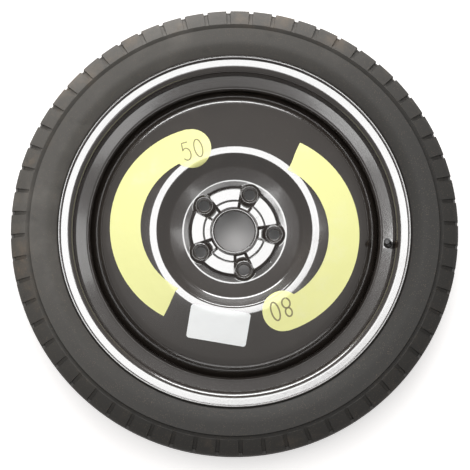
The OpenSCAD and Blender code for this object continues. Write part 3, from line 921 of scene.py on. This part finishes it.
def tyre_rows(look):
    """Rows of the outer half of the tyre section, from its bead to the middle of the tread.

    Each row is radius, distance from the middle, the outward direction in those two,
    slot depth, cut depth and how far the cuts there lie round the tyre.
    """
    toe, gap = SEAT_R + 4, 0.2
    edge_r = TYRE_R - CROWN_RISE
    crown_r = (TREAD_HALF ** 2 + CROWN_RISE ** 2) / (2 * CROWN_RISE)

    def crown(a):
        """Radius of the tread at distance a from its middle."""
        return TYRE_R - crown_r + math.sqrt(crown_r ** 2 - a * a)

    side = rounded([
        (toe, RIM_HALF - BEAD_W, 0),
        (seat_at(RIM_HALF - BEAD_W) + gap, RIM_HALF - BEAD_W, 1.5),
        (SEAT_R + gap, RIM_HALF - gap, BEAD_CORNER_R - gap),
        (FLANGE_R + gap, RIM_HALF - gap, CURL_R + gap),
        (FLANGE_R + 1, RIM_HALF + FLANGE_W - 2, 3),
        (FLANGE_R + 17, TYRE_HALF, 25),
        (TYRE_R - 28, TYRE_HALF, 40),
        (TYRE_R - 8, TREAD_HALF + 5, 20),
        (edge_r, TREAD_HALF, 2),
        (crown(TREAD_HALF * 5 / 6), TREAD_HALF * 5 / 6, 0),
    ], 10)
    side = split_long(side, 8.0)
    ring, slot_deep = look.ring_height * 1000, look.slot_depth * 1000
    groove, cut = look.groove_depth * 1000, look.cut_depth * 1000
    slant = tan_of(24)
    slot_at = [30, 44.5, 47.5, 51, 56, 60, 62.4]
    slot_share = [0.14, 0.86, 1, 1.02, 0.8, 0.42, 0]
    slot_from, slot_fade = 287, 10
    rows = []
    for i, (r, a) in enumerate(side[:-1]):
        out = left_of(unit(side[i + 1] - side[max(i - 1, 0)]))
        slot = np.interp(a, slot_at, slot_share) * np.clip((r - slot_from) / slot_fade, 0, 1)
        rows.append([r, a, *out, slot * slot_deep, 0.0, 0.0])
    # Rows over the tread: distance from its middle, groove drop, and whether a cut is there
    for a, drop, cut_here in (
            (39.5, 0, 0), (34.5, 0, 0), (30, 0, 0), (25.6, 0, 0), (25.15, 0.35, 0),
            (24.85, groove, 0), (22, groove + 0.2, 0), (19.15, groove, 0), (18.85, 0.35, 0),
            (18.4, 0, 1), (14.5, 0, 1), (11, 0, 1), (7.5, 0, 1), (3.6, 0, 1),
            (3.15, 0.35, 0), (2.85, groove, 0), (0, groove + 0.2, 0)):
        shift = slant * (a - 11) if a <= 19 else slant * 8 * max(0.0, (25 - a) / 6)
        slot = np.interp(a, slot_at, slot_share) * slot_deep if a >= slot_at[0] else 0
        rows.append([crown(a) - drop, a, 1.0, 0.0, slot, cut if cut_here else 0, shift])
    rows = np.array(rows)
    on_side = (rows[:, 1] > 50) & (rows[:, 0] > 248) & (rows[:, 0] < 292)
    # Thin rings of the sidewall: radius, width, and height against the ring height setting
    for middle, width, high in ((251.5, 1.4, 1.6), (263, 0.8, 1.0), (266, 0.8, 1.0),
                                (284, 0.9, 1.2), (288, 0.9, 1.0)):
        lift = np.clip(1 - np.abs(rows[:, 0] - middle) / (width * 1.6), 0, 1)
        lift = ring * high * lift * on_side
        rows[:, 0] += rows[:, 2] * lift
        rows[:, 1] += rows[:, 3] * lift
    return rows


class WHEEL_OT_tyre(PieceOperator):
    """Builds the tyre with its blocks, grooves, cuts, sidewall rings and inner liner"""
    bl_idname = "wheel.tyre"
    bl_label = "Tyre"

    def execute(self, context):
        look = context.scene.wheel_tyre
        half = tyre_rows(look)
        other = half[::-1][1:].copy()
        other[:, 1] *= -1
        other[:, 3] *= -1
        rows = np.concatenate([half, other])
        sides = np.array([0] * len(half) + [1] * len(other))
        groups = 120
        slot_half, cut_half = 2.6, 1.2
        # Columns of one group, in millimetres round the tread: slot and cut, then the block
        offsets = np.array([-3.05, -2.5, -1.5, -1.1, 1.1, 1.5, 2.5, 3.05, 8.27])
        pitch = 2 * math.pi * TYRE_R / groups
        group = np.repeat(np.arange(groups), len(offsets))
        offset = np.tile(offsets, groups)
        in_slot = np.abs(offset) < slot_half
        in_cut = np.abs(offset) < cut_half
        grid = []
        for (r, a, nr, na, slot, cut, shift), side in zip(rows, sides):
            mine = (group % 2) == side
            depth = slot * (mine & in_slot) + cut * (mine & in_cut)
            turn = (group * pitch + offset + shift) / TYRE_R
            rr, zz = r - depth * nr, a - depth * na
            grid.append(np.stack([rr * np.cos(turn), rr * np.sin(turn), zz + RIM_Z], 1))
        grid = np.array(grid)
        tread_from = 286
        low = np.where(half[:, 0] > tread_from)[0][0]
        high = len(rows) - low
        build = Build()
        build.rows(grid[low:high])
        m = grid.shape[1]
        skip = 4
        n = m // skip
        # The outer band starts at the bead's row and not at the row next to the tread, which
        # leaves an open slit about 6 mm wide round the outer shoulder
        for sidewall, near, fine in ((grid[:low], 0, low), (grid[high:], high, high - 1)):
            build.rows(sidewall[:, ::skip])
            points = np.concatenate([grid[fine], grid[near][::skip]])
            faces = [(*((skip * j + k) % m for k in range(skip + 1)), m + (j + 1) % n, m + j)
                     for j in range(n)]
            build.add(points, faces)
        # Inner side of the wall, from the middle of the tread to the bead
        hollow = rounded([
            (TYRE_R - TREAD_T, 0, 0),
            (TYRE_R - TREAD_T - LINER_DROP / 4, TREAD_HALF / 2, 0),
            (TYRE_R - TREAD_T - LINER_DROP, TREAD_HALF - 2, 16),
            (TYRE_R - 34, TYRE_HALF - SIDEWALL_T, 30),
            (FLANGE_R + 18, TYRE_HALF - SIDEWALL_T, 20),
            (SEAT_R + 13, RIM_HALF - BEAD_W, 8),
            (SEAT_R + 5, RIM_HALF - BEAD_W, 0),
        ], 18)
        turn = ((group * pitch + offset) / TYRE_R)[::skip]
        for side in (1, -1):
            ring = [np.stack([r * np.cos(turn), r * np.sin(turn),
                              0 * turn + a * side + RIM_Z], 1) for r, a in hollow]
            ring.append(grid[0 if side == 1 else -1][::skip])
            build.rows(ring)
        place_piece("tyre_rubber", build.mesh("tyre_rubber"), rubber_finish("tyre_rubber", look),
                    "wheel", ["tyre"], sharp=38)
        return {"FINISHED"}


class WHEEL_OT_valve(PieceOperator):
    """Builds the valve rubber, its threaded stem and the ribbed cap, and dresses the core"""
    bl_idname = "wheel.valve"
    bl_label = "Valve"

    def execute(self, context):
        look = context.scene.wheel_valve
        place = valve_place()
        wall = RIM_SHEET + TOUCH_GAP
        neck, head, bulge = 5.7, 8.0, 6.2
        boot = VALVE_L - 12 - 1.5
        hole = STEM_R - 1.2 + TOUCH_GAP
        body = rounded([
            (hole, -wall - 7, 0), (head - 2, -wall - 7, 1.0), (head, -wall - 5, 1.2),
            (head, -wall - 1.6, 0.8), (neck + 0.4, -wall, 0.15), (neck, -wall, 0),
            (neck, TOUCH_GAP, 0), (neck + 0.2, TOUCH_GAP, 0), (bulge, 0.9, 0.4),
            (bulge, 2, 0.5), (neck, 3.6, 1.0), (neck - 0.4, 5, 1.2),
            (STEM_R + 1, boot - 1.5, 2), (STEM_R + 0.4, boot, 0.3), (hole, boot, 0)], 10)
        build = Build()
        build.revolve(split_long(body, 1.2), 96, closed=True)
        place_piece("valve_boot", build.mesh("valve_boot", place),
                    plain_rubber("valve_rubber", look.rubber, 0.42), "wheel",
                    ["valve_body"], sharp=45)
        self.stem(look, place, boot)
        self.cap(look, place)
        brass = metal_finish("core_brass", look.brass, (0.3, 0.2, 0.1), 0.25)
        steel = metal_finish("spring_steel", (0.6, 0.6, 0.58), (0.25, 0.2, 0.16), 0.25)
        seal = plain_rubber("seal_rubber", (0.02, 0.02, 0.02), 0.5)
        for node, finish in (("valve_core", brass), ("valve_pin", brass),
                             ("valve_seal", seal), ("cap_gasket", seal)):
            dress_node(node, finish)
        self.spring(place, steel)
        return {"FINISHED"}

    def stem(self, look, place, boot):
        """Brass stem with its thread, hollow for the core."""
        shank = STEM_R - 1.2
        core_top = VALVE_L - 0.6
        low = core_top - 17.4
        pitch = look.thread_pitch * 1000
        depth = look.thread_depth * 1000
        start, end = boot + 1.2, VALVE_L - 0.7
        thread = [(STEM_R, z) for z in np.arange(start, end, pitch / 8)]
        path = ([(1.5, -6), (shank - 0.3, -6), (shank, -5.7), (shank, boot + TOUCH_GAP),
                 (STEM_R - 0.2, boot + TOUCH_GAP), (STEM_R, boot + 0.3), (STEM_R, start - 0.2)]
                + thread + [(STEM_R, end), (STEM_R - 0.6, VALVE_L), (2.65, VALVE_L),
                            (2.65, core_top - 5.25), (2.25, core_top - 5.65),
                            (2.25, low - 5.2), (1.5, low - 6.2)])

        def screw(a, r, z):
            """Presses the thread into the outside of the stem."""
            wave = np.abs((z / pitch - a / (2 * math.pi)) % 1 - 0.5) * 2
            fade = np.clip((z - start) / 0.8, 0, 1) * np.clip((end - z) / 0.5, 0, 1)
            return r - depth * wave * fade * (np.abs(r - STEM_R) < 0.001), z

        build = Build()
        build.revolve(path, 64, closed=True, wobble=screw)
        place_piece("valve_stem_brass", build.mesh("valve_stem_brass", place),
                    metal_finish("stem_brass", look.brass, (0.28, 0.19, 0.09), 0.28),
                    "wheel", ["valve_stem"], sharp=50)

    def spring(self, place, finish):
        """Coil spring of the core, which the pin presses shorter; here it is built at one length
        on a mesh of its own.
        """
        turns, steps, sides, wire_r = 6, 24, 10, 0.18
        barrel_wall, play = 0.5, 0.1
        coil_r = CORE_R - barrel_wall - play - wire_r
        low, high = SPRING_BASE + wire_r, SPRING_BASE + SPRING_L - wire_r
        rows = []
        bend = np.arange(sides) * 2 * math.pi / sides
        for k in range(turns * steps + 1):
            turn = 2 * math.pi * k / steps
            middle = low + (high - low) * k / (turns * steps)
            r = coil_r + wire_r * np.cos(bend)
            rows.append(np.stack([r * math.cos(turn), r * math.sin(turn),
                                  middle + wire_r * np.sin(bend)], 1))
        build = Build()
        build.rows(rows)
        build.add(rows[0], [tuple(range(sides))[::-1]])
        build.add(rows[-1], [tuple(range(sides))])
        piece = place_piece("core_spring", build.mesh("core_spring", place), finish, "wheel",
                            ["valve_spring"])
        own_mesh(piece)

    def cap(self, look, place):
        """Valve cap with grip ribs and a dimple in its top."""
        gasket, roof = 1, 1.8
        base = VALVE_L + TOUCH_GAP + gasket + TOUCH_GAP + roof - CAP_H
        core = CAP_R - 0.35
        inner = STEM_R + 0.1
        top = base + CAP_H
        path = rounded([
            (inner + 0.2, base, 0), (core, base, 0.3), (core, top, 1.4), (2.6, top, 0.5),
            (2.2, top - 0.35, 0.4), (0.02, top - 0.35, 0)], 12)
        path = split_long(path, 0.8)
        inside = [np.array(p) for p in ((0.02, top - roof), (inner, top - roof), (inner, base + 1),
                                        (inner + 0.2, base + 0.8), (inner + 0.2, base))]
        count = look.rib_count
        high = look.rib_height * 1000

        def ribs(a, r, z):
            """Raises the ribs on the outside of the cap."""
            wave = np.clip(np.cos(a * count) * 1.6, 0, 1) ** 0.6
            span = np.clip((z - base - 0.7) / 0.5, 0, 1) * np.clip((top - 2.6 - z) / 0.7, 0, 1)
            return r + high * wave * span * (r > core - 0.05), z

        build = Build()
        build.revolve(path + inside, count * 12, closed=True, wobble=ribs)
        place_piece("valve_cap_ribbed", build.mesh("valve_cap_ribbed", place),
                    plain_rubber("cap_plastic", (0.016, 0.016, 0.016), 0.33, 900.0, 0.00005),
                    "cap", ["valve_cap"], sharp=40)


def dress_node(node, finish):
    """Gives a packed solid that stays in view its finish."""
    mesh = frame["nodes"][node].data
    if not mesh.materials:
        mesh.materials.append(finish)
    for i in range(len(mesh.materials)):
        mesh.materials[i] = finish


def drape(outline, inside, lift, thickness, spacing):
    """A thin label that lies on the front of the disc, as points and faces."""
    edge = [Vector(p) for p in outline]
    n = len(edge)
    box = np.array(outline)
    xs = np.arange(box[:, 0].min() + spacing, box[:, 0].max(), spacing)
    ys = np.arange(box[:, 1].min() + spacing, box[:, 1].max(), spacing)
    fill = [Vector((x, y)) for x in xs for y in ys if inside(x, y)]
    found = delaunay_2d_cdt(edge + fill, [(i, (i + 1) % n) for i in range(n)],
                            [list(range(n))], 1, 1e-6)
    points = np.array([(p[0], p[1]) for p in found[0]])
    faces = [tuple(f) for f in found[2]]
    r = np.hypot(points[:, 0], points[:, 1])
    low = np.column_stack([points, front_z(r) + lift])
    high = np.column_stack([points, front_z(r) + lift + thickness])
    build = Build()
    build.add(high, faces)
    build.add(low, [f[::-1] for f in faces])
    build.rows([np.column_stack([box, front_z(np.hypot(box[:, 0], box[:, 1])) + lift + k])
                for k in (0, thickness)])
    return build


def arc(centre, r, a0, a1, step):
    """Points of an arc from angle a0 to angle a1, about a step apart in degrees."""
    count = max(2, round(abs(a1 - a0) / step))
    return [tuple(centre + polar(r, a0 + (a1 - a0) * k / count)) for k in range(count + 1)]


def crescent_outline():
    """Outline of the left crescent, and a test for a point well inside it."""
    mid = polar(CRESCENT_SHIFT, CRESCENT_ANGLE)
    outer, inner = CRESCENT_R, CRESCENT_R - CRESCENT_W
    start, end = CRESCENT_START, CRESCENT_START + CRESCENT_SPAN
    round_mid = mid + polar(outer - ROUND_END_R - 0.5, start)
    margin = 1.4

    def meet(r):
        """Angles, from the middle and from the round end, where an edge meets that end."""
        best = None
        for a in np.arange(start, start + 30, 0.05):
            u, v = mid + polar(r, a) - round_mid
            gap = abs(math.hypot(u, v) - ROUND_END_R)
            if best is None or gap < best[0]:
                best = (gap, a, math.degrees(math.atan2(v, u)))
        return best[1:]

    out_a, out_turn = meet(outer)
    in_a, in_turn = meet(inner)
    if out_turn < in_turn:
        out_turn += 360
    points = arc(mid, outer, out_a, end, 1.0) + arc(mid, inner, end, in_a, 1.2)
    points += arc(round_mid, ROUND_END_R, in_turn, out_turn, 4)[1:-1]

    def inside(x, y):
        """Whether a point lies inside the outline, clear of its edges."""
        u, v = x - mid[0], y - mid[1]
        d, a = math.hypot(u, v), math.degrees(math.atan2(v, u)) % 360
        in_round = math.hypot(x - round_mid[0], y - round_mid[1]) < ROUND_END_R - margin
        return in_round or (inner + margin < d < outer - margin and start < a < end - 0.8)

    return points, inside


def turned(points, degrees):
    """The points turned round the wheel's axis."""
    c, s = polar(1, degrees)
    return [(x * c - y * s, x * s + y * c) for x, y in points]


def number_strokes(figure):
    """Strokes of one figure in a box one unit wide and two high, as lists of points."""
    def ellipse(cx, cy, rx, ry, a0=0.0, a1=360.0):
        """Points of a part of an ellipse."""
        return [(cx + rx * math.cos(math.radians(a)), cy + ry * math.sin(math.radians(a)))
                for a in np.linspace(a0, a1, 40)]
    shapes = {
        0: [ellipse(0.5, 1, 0.46, 0.98)],
        1: [[(0.2, 1.6), (0.55, 2), (0.55, 0)]],
        2: [ellipse(0.5, 1.48, 0.44, 0.5, 160, -40) + [(0.06, 0), (0.96, 0)]],
        3: [ellipse(0.46, 1.5, 0.42, 0.48, 150, -90) + ellipse(0.46, 0.52, 0.48, 0.5, 90, -150)],
        4: [[(0.74, 0), (0.74, 2), (0.04, 0.62), (0.98, 0.62)]],
        5: [[(0.88, 1.98), (0.2, 1.98), (0.13, 1.12)]
            + ellipse(0.46, 0.68, 0.48, 0.67, 125, -145)],
        6: [ellipse(0.5, 0.6, 0.45, 0.58), [(0.05, 0.62), (0.14, 1.3), (0.5, 1.95)]],
        7: [[(0.04, 2), (0.96, 2), (0.34, 0)]],
        8: [ellipse(0.5, 1.5, 0.37, 0.46), ellipse(0.5, 0.52, 0.46, 0.52)],
        9: [ellipse(0.5, 1.4, 0.45, 0.58), [(0.95, 1.38), (0.86, 0.7), (0.5, 0.05)]],
    }
    return shapes[figure]


class WHEEL_OT_labels(PieceOperator):
    """Builds the two yellow crescents with their numbers, and the paper label"""
    bl_idname = "wheel.labels"
    bl_label = "Labels"

    def execute(self, context):
        look = context.scene.wheel_labels
        film = label_finish("yellow_film", look.film, look.faded, 0.38, 0.35)
        points, inside = crescent_outline()
        ink = plain_rubber("number_ink", look.ink, 0.5)
        for side, turn, number in (("left", 0, look.first), ("right", RIGHT_TURN, look.second)):
            outline = turned(points, turn)
            build = drape(outline, lambda x, y: inside(*turned([(x, y)], -turn)[0]), TOUCH_GAP,
                          LABEL_T, 1.7)
            place_piece(f"crescent_{side}", build.mesh(f"crescent_{side}"), film, "wheel",
                        [f"yellow_sticker_{side}"], sharp=50)
            self.number(look, side, turn, number, ink, look.bold if turn else 1.0)
        self.paper(look)
        return {"FINISHED"}

    def number(self, look, side, turn, number, ink, bold):
        """A printed number, as flat strokes just over the film."""
        high = look.number_height * 1000
        wide = high * 0.46
        half = look.stroke * 500 * bold
        place_r, place_angle, lean = 128.6, 121.9, 20.1
        along = polar(1, lean + turn)
        up = left_of(along)
        middle = polar(place_r, place_angle + turn)
        over_film = TOUCH_GAP + LABEL_T + 0.03
        build = Build()
        for place, figure in zip((-0.72, 0.72), (number // 10, number % 10)):
            for stroke in number_strokes(figure):
                line = [middle + along * ((u - 0.5) * wide + place * wide)
                        + up * (v / 2 - 0.5) * high for u, v in stroke]
                line = split_long(line, 1.0)
                sides = []
                closed = np.linalg.norm(line[0] - line[-1]) < 0.05
                for d in (half, -half):
                    row = []
                    for i, p in enumerate(line):
                        before = line[i - 1] if i else (line[-2] if closed else p)
                        after = line[i + 1] if i + 1 < len(line) else (line[1] if closed else p)
                        q = p + left_of(unit(after - before)) * d
                        row.append((*q, front_z(math.hypot(*q)) + over_film))
                    sides.append(row)
                build.rows(sides, closed_cols=False)
        name = f"number_{side}"
        place_piece(name, build.mesh(name), ink, "wheel")

    def paper(self, look):
        """Bare paper label with rounded corners."""
        corner_r, margin = 4.0, 1.2
        corners = []
        for sx, sy, a0 in ((1, 1, 0), (-1, 1, 90), (-1, -1, 180), (1, -1, 270)):
            middle = np.array([PAPER_R + sx * (PAPER_H / 2 - corner_r),
                               sy * (PAPER_L / 2 - corner_r)])
            corners += [middle + polar(corner_r, a0 + a) for a in range(0, 91, 10)]
        outline = turned(split_long(corners + corners[:1], 3)[:-1], PAPER_ANGLE)

        def inside(x, y):
            """Whether a point lies inside the outline, clear of its edges."""
            (u, v), = turned([(x, y)], -PAPER_ANGLE)
            return abs(u - PAPER_R) < PAPER_H / 2 - margin and abs(v) < PAPER_L / 2 - margin

        build = drape(outline, inside, TOUCH_GAP, LABEL_T, 3.0)
        aged = tuple(0.96 * c for c in look.paper)
        place_piece("paper_sheet", build.mesh("paper_sheet"),
                    label_finish("white_paper", look.paper, aged, 0.5, 0.1), "wheel",
                    ["paper_label"], sharp=50)


# Name, place x, y, z, width and height in metres, and share of the key light's brightness
LAMPS = (("key_box", -0.20, 0.365, 3.0, 1.62, 1.03, 1.0),
         ("right_box", 0.86, 0.365, 3.0, 0.50, 1.03, 0.26),
         ("near_box", 0.0, -0.40, 3.0, 2.10, 0.50, 0.26),
         ("far_strip", -0.4, 3.0, 1.0, 3.8, 0.8, 1.7))


class WHEEL_OT_stage(PieceOperator):
    """Sets the floor, the soft light, the room and the camera"""
    bl_idname = "wheel.stage"
    bl_label = "Stage"

    def execute(self, context):
        look = context.scene.wheel_stage
        scene = context.scene
        scene.view_settings.view_transform = "Standard"
        mesh = bpy.data.meshes.new("floor")
        low, half = CAD_BOX[0][2] - 0.0003, 12.0
        mesh.from_pydata([(-half, -half, low), (half, -half, low), (half, half, low),
                          (-half, half, low)], [], [(0, 1, 2, 3)])
        floor = bpy.data.objects.new("floor", mesh)
        scene.collection.objects.link(floor)
        mesh.materials.append(floor_finish(look.floor))
        self.room(scene, look)
        self.lamps(scene, look)
        self.camera(scene, look)
        return {"FINISHED"}

    def room(self, scene, look):
        """Dim pale room that is white to the camera."""
        world = bpy.data.worlds.new("room")
        scene.world = world
        world.use_nodes = True
        tree = world.node_tree
        back = tree.nodes["Background"]
        back.inputs["Color"].default_value = (1.0, 0.98, 0.96, 1.0)
        seen = tree.nodes.new("ShaderNodeLightPath").outputs["Is Camera Ray"]
        gain = add_math(tree, "MULTIPLY_ADD", seen, 1.0 - look.world, look.world)
        tree.links.new(gain, back.inputs["Strength"])

    def lamps(self, scene, look):
        """Soft boxes that face the wheel, turned with the camera."""
        turn = Matrix.Rotation(look.azimuth, 4, "Z")
        for name, x, y, z, wide, high, share in LAMPS:
            data = bpy.data.lights.new(name, "AREA")
            data.shape = "RECTANGLE"
            data.size, data.size_y = wide, high
            data.energy = look.key * share * wide * high * math.pi
            lamp = bpy.data.objects.new(name, data)
            lamp.visible_camera = False
            scene.collection.objects.link(lamp)
            lamp.location = turn @ Vector((x, y, z))
            lamp.rotation_mode = "QUATERNION"
            aim = Vector((-x, -y, -z)).to_track_quat("-Z", "Y")
            lamp.rotation_quaternion = turn.to_quaternion() @ aim

    def camera(self, scene, look):
        """Camera at the photo's angle, aimed a little past the middle to frame it alike."""
        data = bpy.data.cameras.new("camera")
        data.lens, data.sensor_width = look.lens, 36.0
        camera = bpy.data.objects.new("camera", data)
        scene.collection.objects.link(camera)
        a, e = look.azimuth, look.elevation
        back = Vector((math.sin(a) * math.cos(e), -math.cos(a) * math.cos(e), math.sin(e)))
        turn = (-back).to_track_quat("-Z", "Y")
        down, right = 0.0045, 0.0007
        aim = turn @ Vector((0.0, -down, 0.0)) + Vector((right, 0.0, 0.0))
        camera.rotation_mode = "QUATERNION"
        camera.rotation_quaternion = turn
        camera.location = aim + back * look.distance
        data.clip_start, data.clip_end = 0.1, 100
        scene.camera = camera


class WHEEL_PT_panel(bpy.types.Panel):
    """Lists the steps and the settings of the wheel"""
    bl_label = "Spare wheel"
    bl_idname = "WHEEL_PT_panel"
    bl_space_type = "VIEW_3D"
    bl_region_type = "UI"
    bl_category = "Spare wheel"

    def draw(self, context):
        column = self.layout.column()
        for operator in OPERATORS:
            column.operator(operator.bl_idname, text=operator.bl_label)
        for name, group in SETTINGS.items():
            box = self.layout.box()
            box.label(text=group.__doc__)
            for key in group.__annotations__:
                box.prop(getattr(context.scene, name), key)


SETTINGS = {"wheel_tyre": TyreLook, "wheel_paint": PaintLook, "wheel_valve": ValveLook,
            "wheel_labels": LabelLook, "wheel_stage": StageLook}
OPERATORS = (WHEEL_OT_rim, WHEEL_OT_disc, WHEEL_OT_welds, WHEEL_OT_tyre, WHEEL_OT_valve,
             WHEEL_OT_labels, WHEEL_OT_stage)


def register():
    """Adds the settings, the steps and the panel to Blender."""
    for cls in (*SETTINGS.values(), *OPERATORS, WHEEL_PT_panel):
        bpy.utils.register_class(cls)
    for name, group in SETTINGS.items():
        setattr(bpy.types.Scene, name, bpy.props.PointerProperty(type=group))


def unregister():
    """Takes them away again."""
    for name in SETTINGS:
        delattr(bpy.types.Scene, name)
    for cls in reversed((*SETTINGS.values(), *OPERATORS, WHEEL_PT_panel)):
        bpy.utils.unregister_class(cls)


def main():
    """Registers the steps and builds every piece in order."""
    register()
    for operator in OPERATORS:
        group, name = operator.bl_idname.split(".")
        getattr(getattr(bpy.ops, group), name)()


if __name__ == "__main__":
    main()
